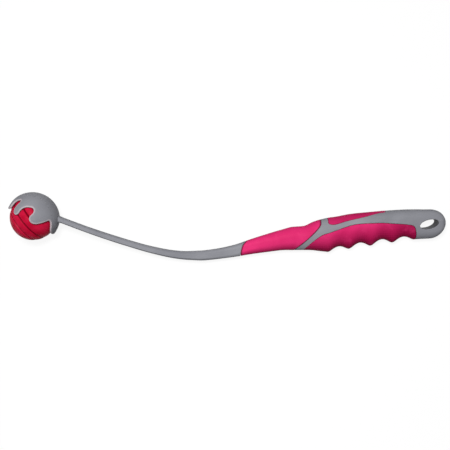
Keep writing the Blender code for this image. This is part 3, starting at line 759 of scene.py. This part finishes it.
# %% The pad under the thumb and the grip under the fingers
GRIP_PITCH = 0.002  # between the points of a grip's face
RIM_PITCH = 0.0011  # between the points of its outline
PAD_DARK_SHARE = 0.4  # share of the darker tone laid evenly over the whole top pad
SHADE_UNDER_SHARES = (0.56, 0.16)  # of the way up from the underside: where the painted shade begins, and is full
SHADE_REAR_SHARES = (0.80, 0.92)  # of the length: where painted shade also darkens the grip's rear
# how much painted shade the finger grip's rear takes
REAR_SHADE = 0.55


def unrolled_edge(shares, from_top):
    """The grip's edge on the unrolled skin, near side and far side, as one closed outline."""
    near = []
    for x, y in side_outline(shares):
        reach = reach_at(x, y)
        reach = sum(runs(x)) - reach if from_top else reach
        if reach > CLEARANCE:
            near.append(Vector((x, reach)))
    near = [Vector((near[0].x, 0)), *near, Vector((near[-1].x, 0))]
    return evenly(near + [Vector((p.x, -p.y)) for p in reversed(near[1:-1])], RIM_PITCH)


def fade(value, start, full):
    """0 as far as start, 1 from full on, and even between."""
    return min(max((value - start) / (full - start), 0.0), 1.0)


def finger_grip_shade(point):
    """How much painted shade an unrolled point takes: most underneath and at the grip's rear."""
    under = fade(abs(point.y) / sum(runs(point.x)), *SHADE_UNDER_SHARES)
    rear = fade(point.x / SPINE_LENGTH, *SHADE_REAR_SHARES)
    return 1 - (1 - under) * (1 - REAR_SHADE * rear)


def grip(name, node, shares, painted_shade, from_top):
    """A soft grip, unrolled from the bottom's middle, or from the top's for the pad."""
    def put(point, depth):
        """The grip's point at a depth under its skin, for a point of the unrolled outline."""
        reach = math.copysign(sum(runs(point.x)) - abs(point.y), point.y) if from_top else point.y
        return skin_point(point.x, reach, depth)

    mesh = skin(unrolled_edge(shares, from_top), grip_rim, GRIP_PITCH, put, GRIP_EDGE, painted_shade)
    put_in_place(form(name, mesh), pink, node)


grip("soft_top_pad", "top_pad", top_pad_shares, lambda point: PAD_DARK_SHARE, from_top=True)
grip("soft_finger_grip", "finger_grip", finger_grip_shares, finger_grip_shade, from_top=False)

# %% [markdown]
# ## The front sleeve
#
# The third grip wraps right round the handle, so its unrolled skin has no side edges: it is a band
# between a front edge and a slanted rear edge. Filling it with triangles would leave a seam, so the band
# is woven instead. Each strip runs from the front edge to the rear one, down round the rim and back
# underneath, and neighbouring strips share their edges all the way round.

# %% The front sleeve
# how much painted shade the sleeve's underside takes
SLEEVE_SHADE = 0.55
SLEEVE_SHADE_UNDER_SHARES = (0.42, 0.22)  # of the way up: where the painted shade begins, and is full
OFF_SURFACE = 0.002  # outline points as near as this to the bottom's or top's middle lie off the skin


def edge_places(outline):
    """Pairs of the share of the way round and X along one end of the sleeve."""
    found = [(reach_at(x, y) / sum(runs(x)), x) for x, y in outline]
    return sorted((share, x) for share, x in found if OFF_SURFACE < share < 1 - OFF_SURFACE)


def along_edge(places, share):
    """X of the sleeve's end at a share of the way round."""
    i = min(max(bisect_right([s for s, _ in places], share), 1), len(places) - 1)
    (low, start), (high, end) = places[i - 1], places[i]
    return start + (end - start) * fade(share, low, high)


def sleeve_mesh(strips=104, rows=44, steps=24):
    """The woven band: closed loops along the handle, joined side by side right round it."""
    outline = side_outline(sleeve_front_shares + sleeve_rear_shares, steps)
    count = len(sleeve_front_shares)
    front = edge_places(outline[:(count - 1) * steps])
    rear = edge_places(outline[count * steps:-steps])
    mesh = bmesh.new()
    wear_and_painted_edge, shade_layer = finish_layers(mesh)
    woven = []
    for strip in range(strips):
        turn = 2 * strip / strips
        share = turn if turn <= 1 else 2 - turn
        start, end = along_edge(front, share), along_edge(rear, share)
        inner_start, inner_end = start + GRIP_EDGE, end - GRIP_EDGE
        path = [(start + way, depth, 1) for way, depth in reversed(grip_rim)]
        path += [(inner_start + (inner_end - inner_start) * i / rows, 0.0, 0) for i in range(1, rows)]
        path += [(end - way, depth, 1) for way, depth in grip_rim]
        path += [(end + (start - end) * i / rows, GRIP_SKIN, 0) for i in range(1, rows)]
        corners = []
        for x, depth, on_painted_edge in path:
            reach = share * sum(runs(x)) * (1 if turn <= 1 else -1)
            corners.append(mesh.verts.new(skin_point(x, reach, depth)))
            # 1 on the sleeve's rolled rim, where the painted edge shadow lies
            corners[-1][wear_and_painted_edge] = on_painted_edge
            # painted shade, darker towards the sleeve's underside
            corners[-1][shade_layer] = SLEEVE_SHADE * fade(share, *SLEEVE_SHADE_UNDER_SHARES)
        woven.append(corners)
    for near, far in zip(woven, woven[1:] + woven[:1]):
        band(mesh, near, far)
    bmesh.ops.recalc_face_normals(mesh, faces=mesh.faces)
    return mesh


put_in_place(form("soft_front_sleeve", sleeve_mesh()), pink, "front_sleeve")

# %% [markdown]
# ## Arm and handle shells
#
# The arm is one bar that ends in a narrow tang inside the handle; the handle is split down its middle
# into a near and a far shell. Their recesses for the grips have crisp edges, which is what a Boolean is
# good at: the grips' outlines, grown by a hair's breadth, are pushed through the handle, but only down
# to the depth of the recess. The hanging hole's cutter flares at both mouths, so that the Boolean leaves
# the rounded lip that a moulded hole has.

# %% Sizes inside the handle
OVERRUN = 0.006  # how far a cutter reaches past what it cuts
SPIGOT_LENGTH = 0.0040
SPIGOT_STEP = 0.0022  # how much thinner than the arm its spigot is, on each side
COLLAR_LENGTH = 0.0062
COLLAR_FLARE = 0.0008  # how much wider the collar is at its root, on each side
TANG_DEPTH = 0.0090
TANG_WIDTH = 0.0060
TANG_PAST_PIN = 0.0450  # the tang runs on this far behind the shells' pin
HOLE_LENGTH = 0.0238
HOLE_HEIGHT = 0.0112
HOLE_TILT = 13.5  # degrees
HOLE_LIP = 0.0014  # radius of the hole's rounded lip
HOLE_RISE_SHARE = 0.03  # of the half depth, above the middle line
SLEEVE_START_SHARE, SHELL_START_SHARE, PIN_SHARE, HOLE_SHARE = 0.487, 0.5346, 0.62, 0.958
sleeve_start = SPINE_LENGTH * SLEEVE_START_SHARE
shell_start = SPINE_LENGTH * SHELL_START_SHARE
tang_end = SPINE_LENGTH * PIN_SHARE + TANG_PAST_PIN
collar_end = CUP_RADIUS + COLLAR_LENGTH
ROOM_PITCH = 0.0015  # between the points of the recesses' outlines


def tang_shape(x, margin=0.0):
    """The section of the arm's tang."""
    corner = TANG_WIDTH / 5
    deep, wide = TANG_DEPTH / 2 + margin, TANG_WIDTH / 2 + margin
    return smooth(middle_line, x), deep, deep, wide, corner, corner, corner


def grip_rooms():
    """A cutter for the three recesses: the grips' outlines, less the handle's core."""
    rooms = bmesh.new()
    for shares in (sleeve_front_shares + sleeve_rear_shares, top_pad_shares, finger_grip_shares):
        outline = drawn_in(evenly(side_outline(shares), ROOM_PITCH), -CLEARANCE)
        room = form("room", prism(outline, -HANDLE_WIDTH, HANDLE_WIDTH))
        rooms.from_mesh(room.data)
        clear_away(room)
    core = form("core", body(GRIP_SKIN + CLEARANCE, sleeve_start - OVERRUN, SPINE_LENGTH))
    cutter = combine(form("grip rooms", rooms), [core])
    clear_away(core)
    return cutter


recesses = grip_rooms()
print("recess cutter:", len(recesses.data.polygons), "faces")

# %% The arm
ARM_PITCH, TANG_PITCH = 0.003, 0.006  # between their rings


def arm_form():
    """The spigot, the bar and the tang in one loft, less the sleeve's recess."""
    shoulder = shell_start - CLEARANCE
    front = collar_end + CLEARANCE / 3  # the seam to the collar is finer than the other gaps
    rings = [ring(x, shape_at(x, SPIGOT_STEP)) for x in (collar_end - SPIGOT_LENGTH, front)]
    rings += [ring(x, shape_at(x)) for x in stations(front, shoulder, ARM_PITCH)]
    rings += [ring(x, tang_shape(x)) for x in stations(shoulder, tang_end, TANG_PITCH)]
    return combine(form("throwing_bar", loft(rings)), [recesses])


put_in_place(arm_form(), grey, "throwing_arm")

# %% The hanging hole's cutter
hole_x = SPINE_LENGTH * HOLE_SHARE
hole_rise = HOLE_RISE_SHARE * smooth(depth_line, hole_x) / 2
hole_centre = Vector((hole_x, smooth(middle_line, hole_x) + hole_rise))
hole_face = shape_at(hole_x)[3]


def hanging_hole(sides=72, lip_steps=6):
    """An oval prism whose mouths flare along a quarter circle at the handle's two flat sides."""
    tilt = math.radians(HOLE_TILT)
    rows = [(hole_face - depth, grown) for grown, depth in reversed(round_rim(HOLE_LIP, 90, lip_steps))]
    rows.append((hole_face + HOLE_LIP, 2 * HOLE_LIP))
    rings = []
    for z, grown in [(-z, grown) for z, grown in reversed(rows)] + rows:
        rings.append([])
        for i in range(sides):
            turn = math.tau * i / sides
            u = (HOLE_LENGTH / 2 + grown) * math.cos(turn)
            v = (HOLE_HEIGHT / 2 + grown) * math.sin(turn)
            x = hole_centre.x + u * math.cos(tilt) - v * math.sin(tilt)
            y = hole_centre.y + u * math.sin(tilt) + v * math.cos(tilt)
            rings[-1].append(Vector((x, y, z)))
    return form("hole cutter", loft(rings))


hole = hanging_hole()
tang_room = form("tang room", loft([
    ring(x, tang_shape(x, CLEARANCE))
    for x in stations(shell_start - OVERRUN, tang_end + CLEARANCE, TANG_PITCH)
]))
print("flat side at the hole, mm from the middle:", round(1000 * hole_face, 2))

# %% The two shells
def mark_hole_shade(shape):
    """Marks the hole's wall for painted shade, up to where its lip begins."""
    reach = 0.55 * HOLE_LENGTH  # a little over half the hole
    deep = hole_face - 0.9 * HOLE_LIP  # nearly the whole lip stays out of it
    inner = shape.data.attributes.new("hole_shade_share", "FLOAT", "POINT")
    for i, vertex in enumerate(shape.data.vertices):
        within = (vertex.co.xy - hole_centre).length < reach
        inner.data[i].value = 1.0 if within and abs(vertex.co.z) < deep else 0.0


def shell(name, node, side):
    """One half of the handle: side 1 is the near half, and side -1 the far one."""
    whole = form(name, body(0, shell_start, SPINE_LENGTH))
    low, high = sorted((side * CLEARANCE / 2, side * HANDLE_WIDTH))
    far = 2 * SPINE_LENGTH
    box = [(0, -SPINE_LENGTH), (far, -SPINE_LENGTH), (far, SPINE_LENGTH), (0, SPINE_LENGTH)]
    half = form("half", prism(box, low, high))
    combine(whole, [half], "INTERSECT")
    combine(whole, [recesses, tang_room, hole])
    clear_away(half)
    mark_hole_shade(whole)
    put_in_place(whole, grey, node)


shell("near_handle_shell", "handle_shell_near", 1)
shell("far_handle_shell", "handle_shell_far", -1)
clear_away(recesses, hole, tang_room)

# %% [markdown]
# ## The claw cup
#
# The cup is a dome of thin plastic, cut into six fingers that hold the ball. Cutting a hollow sphere
# with a shaped tool would leave thin square edges. So the dome is unrolled from its pole, as a map of
# the Arctic is: the rim becomes a closed outline on paper, and the same skin builder that made the grips
# fills it, with a full half-round rim. A short flared collar joins it to the arm.

# %% The cup's rim, in degrees round the pole and from the pole
RIM_HALF = (
    (0, 96.8), (13, 95.8), (23, 93), (29, 89), (30.5, 83), (31, 77), (32.5, 71), (36, 65.5), (41, 61.5),
    (45.5, 61), (48.6, 64.5), (49, 71), (48.5, 78), (49.5, 85), (52.5, 90), (57, 92.6), (62, 91.5),
    (65, 86.5), (65.5, 79), (67, 72.5), (70.5, 67), (77, 62.5), (85, 59.5), (91, 61.5), (93.5, 67),
    (92.5, 73), (91.5, 78.5), (93, 84), (98, 88), (105, 89), (112.5, 86), (119, 81), (126, 75.5),
    (132, 70.5), (138, 68), (143, 71.5), (147, 78), (151, 85), (156.5, 91), (163, 94.5), (171, 95.8),
    (180, 96),
)
CUP_WALL = 0.0024
TIP_CURL = 0.0009  # how far the claws' tips curl in
CURL_START, CURL_END = math.radians(60), math.radians(97)  # from the pole


def soft_fade(value, start, full):
    """A fade that sets off and arrives gently."""
    share = fade(value, start, full)
    return share * share * (3 - 2 * share)


def dome_point(point, depth):
    """Rolls a point of the flat map back on to the dome, at a depth under its outer face."""
    polar, turn = point.length / CUP_RADIUS, math.atan2(point.y, point.x)
    radius = CUP_RADIUS - TIP_CURL * soft_fade(polar, CURL_START, CURL_END) - depth
    way = aim_vector(CUP_AIM + 90) * math.cos(turn) + Vector((0, 0, 1)) * math.sin(turn)
    return (way * math.sin(polar) + aim_vector(CUP_AIM) * math.cos(polar)) * radius


def rim_outline(steps=5):
    """The whole rim on the flat map."""
    near = [(math.radians(turn), CUP_RADIUS * math.radians(polar)) for turn, polar in RIM_HALF]
    whole = near + [(-turn, way) for turn, way in reversed(near[1:-1])]
    corners = [Vector((way * math.cos(turn), way * math.sin(turn))) for turn, way in whole]
    return smooth_loop(corners, steps)


rim = rim_outline()
print("length of the rim, mm:", round(1000 * sum((a - b).length for a, b in zip(rim, rim[1:]))))

# %% The cup with its collar
CUP_PITCH = 0.0021
CUP_RIM_HIGHLIGHT_REACH = 1.5 * CUP_WALL  # how far in from the rim the painted highlight and painted red reflection reach


def collar_form(steps=12):
    """A short bar that widens to its root, inside the dome's wall."""
    start = CUP_RADIUS - CUP_WALL - COLLAR_FLARE
    rings = []
    for step in range(steps + 1):
        left = 1 - step / steps
        x = collar_end - (collar_end - start) * left
        rings.append(ring(x, shape_at(x, -COLLAR_FLARE * left * left)))
    return form("collar", loft(rings))


def plain_collar(shape):
    """Takes the rim's painted highlight off the collar, which the Boolean gives it by mistake."""
    root = 0.8 * CUP_RADIUS  # all of the collar lies further along X
    wear_and_painted_edge = shape.data.attributes["edge_share"].data
    for i, vertex in enumerate(shape.data.vertices):
        x, y, z = vertex.co
        if x > root and abs(y) < ARM_DEPTH and abs(z) < ARM_WIDTH:
            wear_and_painted_edge[i].value = 0


def cup_form():
    """The dome and its collar in one, with the pocket for the arm's spigot."""
    half_round = round_rim(CUP_WALL / 2, 180, 8)
    dome = form("claw_dome", skin(rim, half_round, CUP_PITCH, dome_point, CUP_RIM_HIGHLIGHT_REACH))
    collar = collar_form()
    ball_room = bmesh.new()
    bmesh.ops.create_icosphere(ball_room, subdivisions=5, radius=CUP_RADIUS - CUP_WALL / 2)
    core = form("ball room", ball_room)
    combine(collar, [core])
    combine(dome, [collar], "UNION")
    ends = (collar_end - SPIGOT_LENGTH - CLEARANCE, collar_end + OVERRUN)
    pocket = form("pocket", loft([ring(x, shape_at(x, SPIGOT_STEP - CLEARANCE)) for x in ends]))
    combine(dome, [pocket])
    clear_away(collar, core, pocket)
    plain_collar(dome)
    return dome


put_in_place(cup_form(), grey, "claw_cup", crease=50)

# %% [markdown]
# ## The ball
#
# A rubber ball lies in the cup as it happened to roll. It has four grooves like lines of latitude, and
# two of them run only half-way round. It is turned on a lathe in code: one profile, swept round the
# ball's own axis. A sphere with grooves painted on would show a clean round outline, so the grooves are
# cut into the profile, with soft shoulders; painted shade darkens them as well.

# %% The ball's sizes and grooves
BALL_RADIUS = 0.0292
GROOVE_WIDTH = 0.0032
GROOVE_DEPTH = 0.0015
BAND_WIDTH = 0.0106  # a band falls off softly to its grooves
BAND_DROP = 0.0003
SEAM_WIDTH = 0.0006  # a faint moulding seam on the ball's equator
SEAM_HEIGHT = 0.00008
GROOVE_LATITUDES = (-31, -10.5, 10.5, 31)
GROOVE_MIDDLE, GROOVE_REACH, GROOVE_END = 115, 90, 10  # degrees round, for those on the lower half
BALL_AXIS = Vector((-0.79, -0.61, -0.09)).normalized()
SEAT_AIM = 66  # degrees above X to where the ball rests on the cup


def groove_share(latitude, width, grooves):
    """How deep in a groove a latitude is: 0 on the ball's skin, 1 at the bottom of a groove."""
    off = min(abs(latitude - groove) for groove in grooves)
    half = math.degrees(width / 2 / BALL_RADIUS)
    return 0.5 + 0.5 * math.cos(math.pi * min(off / half, 1.0))


def groove_run(longitude):
    """1 along the grooves of the lower half, down to 0 where they run out."""
    off = abs((longitude - GROOVE_MIDDLE + 180) % 360 - 180)
    return soft_fade(off, GROOVE_REACH, GROOVE_REACH - GROOVE_END)


print("width of a groove on the ball, degrees:", round(math.degrees(GROOVE_WIDTH / BALL_RADIUS), 1))

# %% Sweep the profile round
def ball_mesh(rows=240, sides=160):
    """The grooved profile, swept round its axis and laid on the cup's seat."""
    mesh = bmesh.new()
    deep = mesh.verts.layers.float.new("groove_share")
    rings = []
    turns = [360 * i / sides for i in range(sides)]
    runs_of_lower = [groove_run(turn) for turn in turns]
    for row in range(1, rows):
        latitude = 180 * row / rows - 90
        rise = math.radians(latitude)
        grooves = [groove for groove in GROOVE_LATITUDES if groove * latitude > 0] or GROOVE_LATITUDES
        share = groove_share(latitude, GROOVE_WIDTH, grooves)
        soft = groove_share(latitude, BAND_WIDTH, grooves)
        seam = SEAM_HEIGHT * math.exp(-(rise * BALL_RADIUS / SEAM_WIDTH) ** 2)
        height = Vector((0, 0, math.sin(rise)))
        around = math.cos(rise)
        rings.append([])
        for turn, run_of_lower in zip(turns, runs_of_lower):
            run = 1.0 if latitude > 0 else run_of_lower
            radius = BALL_RADIUS + seam - run * (GROOVE_DEPTH * share + BAND_DROP * soft)
            rings[-1].append(mesh.verts.new((aim_vector(turn) * around + height) * radius))
            rings[-1][-1][deep] = share * run
    for lower, upper in zip(rings, rings[1:]):
        band(mesh, lower, upper)
    for end, height in ((rings[0], -BALL_RADIUS), (rings[-1], BALL_RADIUS)):
        pole = mesh.verts.new((0, 0, height))
        for i in range(sides):
            mesh.faces.new((end[i], end[(i + 1) % sides], pole))
    bmesh.ops.recalc_face_normals(mesh, faces=mesh.faces)
    seat = aim_vector(SEAT_AIM) * (CUP_RADIUS - CUP_WALL - CLEARANCE - BALL_RADIUS)
    turn = Vector((0, 0, 1)).rotation_difference(BALL_AXIS).to_matrix().to_4x4()
    mesh.transform(Matrix.Translation(seat) @ turn)
    return mesh


put_in_place(form("grooved_ball", ball_mesh()), red, "ball", "ball")

# %% [markdown]
# ## Floor, light and camera
#
# The photograph is a plain catalogue picture: the near side faces the lens, the light is broad and
# comes from beside the camera, and the ground is bare white. The floor is lit grey paper for everything
# except the camera and reflections, which see it nearly white; it still takes the thrower's shadow. The
# camera looks down on the thrower with a long lens, five degrees off the middle plane's own normal.

# %% The floor
def seen_directly(tree):
    """1 for rays that show a surface to the camera, straight or by reflection or through glass."""
    path = tree.nodes.new("ShaderNodeLightPath").outputs
    seen = reckon("MAXIMUM", path["Is Camera Ray"], path["Is Glossy Ray"])
    return reckon("MAXIMUM", seen, path["Is Transmission Ray"])


def bare_tree(owner):
    """The emptied node tree of a material or a world."""
    owner.use_nodes = True
    owner.node_tree.nodes.clear()
    return owner.node_tree


def show(tree, output, lighting, shown):
    """Gives an output two shaders: one that lights the thrower, and one that is seen."""
    sockets = {0: seen_directly(tree), 1: lighting.outputs[0], 2: shown.outputs[0]}
    pick = add(tree, "ShaderNodeMixShader", sockets)
    add(tree, output, {"Surface": pick.outputs[0]})


FLOOR_TONE = (0.08, 0.08, 0.08, 1)
FLOOR_SEEN = (0.09, 0.09, 0.09, 1)
FLOOR_LIFT = 0.91
FLOOR_SIZE = 8.0

paper = bpy.data.materials.new("floor_paper")
tree = bare_tree(paper)
plain = add(tree, "ShaderNodeBsdfDiffuse", {"Color": FLOOR_TONE})
lit = add(tree, "ShaderNodeBsdfDiffuse", {"Color": FLOOR_SEEN})
glow = add(tree, "ShaderNodeEmission", {"Strength": FLOOR_LIFT})
lifted = add(tree, "ShaderNodeAddShader", {0: lit.outputs[0], 1: glow.outputs[0]})
show(tree, "ShaderNodeOutputMaterial", plain, lifted)

ground = bmesh.new()
bmesh.ops.create_grid(ground, x_segments=2, y_segments=2, size=FLOOR_SIZE / 2)
floor = form("floor", ground)
floor.data.materials.append(paper)
print("floor, m:", FLOOR_SIZE)

# %% The pale room
WHITE = (1.0, 1.0, 1.0, 1)
ROOM_LIGHT, FULL_WHITE = 0.14, 1.0

world = bpy.data.worlds.new("pale_room")
bpy.context.scene.world = world
tree = bare_tree(world)
room = add(tree, "ShaderNodeBackground", {"Color": WHITE, "Strength": ROOM_LIGHT})
backdrop = add(tree, "ShaderNodeBackground", {"Color": WHITE, "Strength": FULL_WHITE})
show(tree, "ShaderNodeOutputWorld", room, backdrop)
print("room light:", ROOM_LIGHT)

# %% Soft lamps beside the camera
MIDDLE = Vector((0.2454, -0.0080, 0))  # the middle of the picture, in the upright drawing


def soft_lamp(name, place, size, power):
    """A square lamp at a place in the upright drawing, turned to the thrower's middle."""
    data = bpy.data.lights.new(name, "AREA")
    data.shape = "SQUARE"
    data.size = size
    data.energy = power
    lamp = in_scene(name, data)
    lamp.location = lying @ Vector(place)
    lamp.rotation_euler = (lamp.location - lying @ MIDDLE).to_track_quat("Z", "Y").to_euler()


soft_lamp("key", place=(0.10, 0.40, 1.22), size=0.30, power=17.2)
soft_lamp("fill", place=(-0.10, -0.10, 1.2), size=0.40, power=0.8)
print("lamps: key above left of the lens, a weak fill low on the left")

# %% Camera
CAMERA_TILT = 5  # degrees off the middle plane's normal
CAMERA_DISTANCE = 1.0
VIEW_WIDTH = 0.57465  # how much the picture takes in at the thrower's middle plane
turned = math.radians(CAMERA_TILT)
back = (lying.to_3x3() @ Vector((0, math.sin(turned), math.cos(turned)))).normalized()
thumb_side = lying.to_3x3() @ Vector((0, 1, 0))
upward = (thumb_side - back * thumb_side.dot(back)).normalized()
lens = bpy.data.cameras.new("camera")
lens.sensor_fit = "HORIZONTAL"
lens.sensor_width = 36
lens.lens = lens.sensor_width * CAMERA_DISTANCE / VIEW_WIDTH
camera = in_scene("camera", lens)
facing = Matrix((upward.cross(back), upward, back)).transposed()
camera.matrix_world = Matrix.Translation(lying @ MIDDLE + back * CAMERA_DISTANCE) @ facing.to_4x4()
bpy.context.scene.camera = camera
bpy.context.scene.view_settings.view_transform = "Standard"
print("lens, mm:", round(lens.lens, 1))
